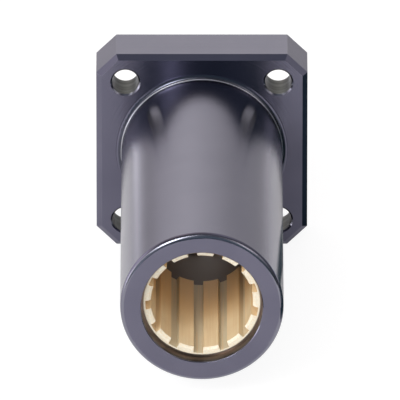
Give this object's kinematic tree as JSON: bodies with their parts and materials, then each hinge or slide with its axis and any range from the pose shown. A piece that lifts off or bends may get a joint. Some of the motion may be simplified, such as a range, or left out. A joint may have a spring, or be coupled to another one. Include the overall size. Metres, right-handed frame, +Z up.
{
  "type": "flanged twin linear bearing block",
  "caption": "Long round barrel on a square mounting flange, with a grooved plastic liner in each end of the bore to guide a linear shaft.",
  "frame": {"origin": "where the bore axis meets the flange's seat face, the face that the barrel stands on", "axes": "+Y along the bore axis from the barrel to the back of the flange, +Z up, +X to the right seen from the barrel's free end"},
  "size_m": [0.042, 0.08, 0.042],
  "materials": {
    "housing": "satin hard-anodised, blue-grey",
    "liner": "matt moulded plastic, cream"
  },
  "bodies": {
    "root": {"flanged_housing": "housing", "front_liner": "liner", "rear_liner": "liner"}
  },
  "joints": []
}
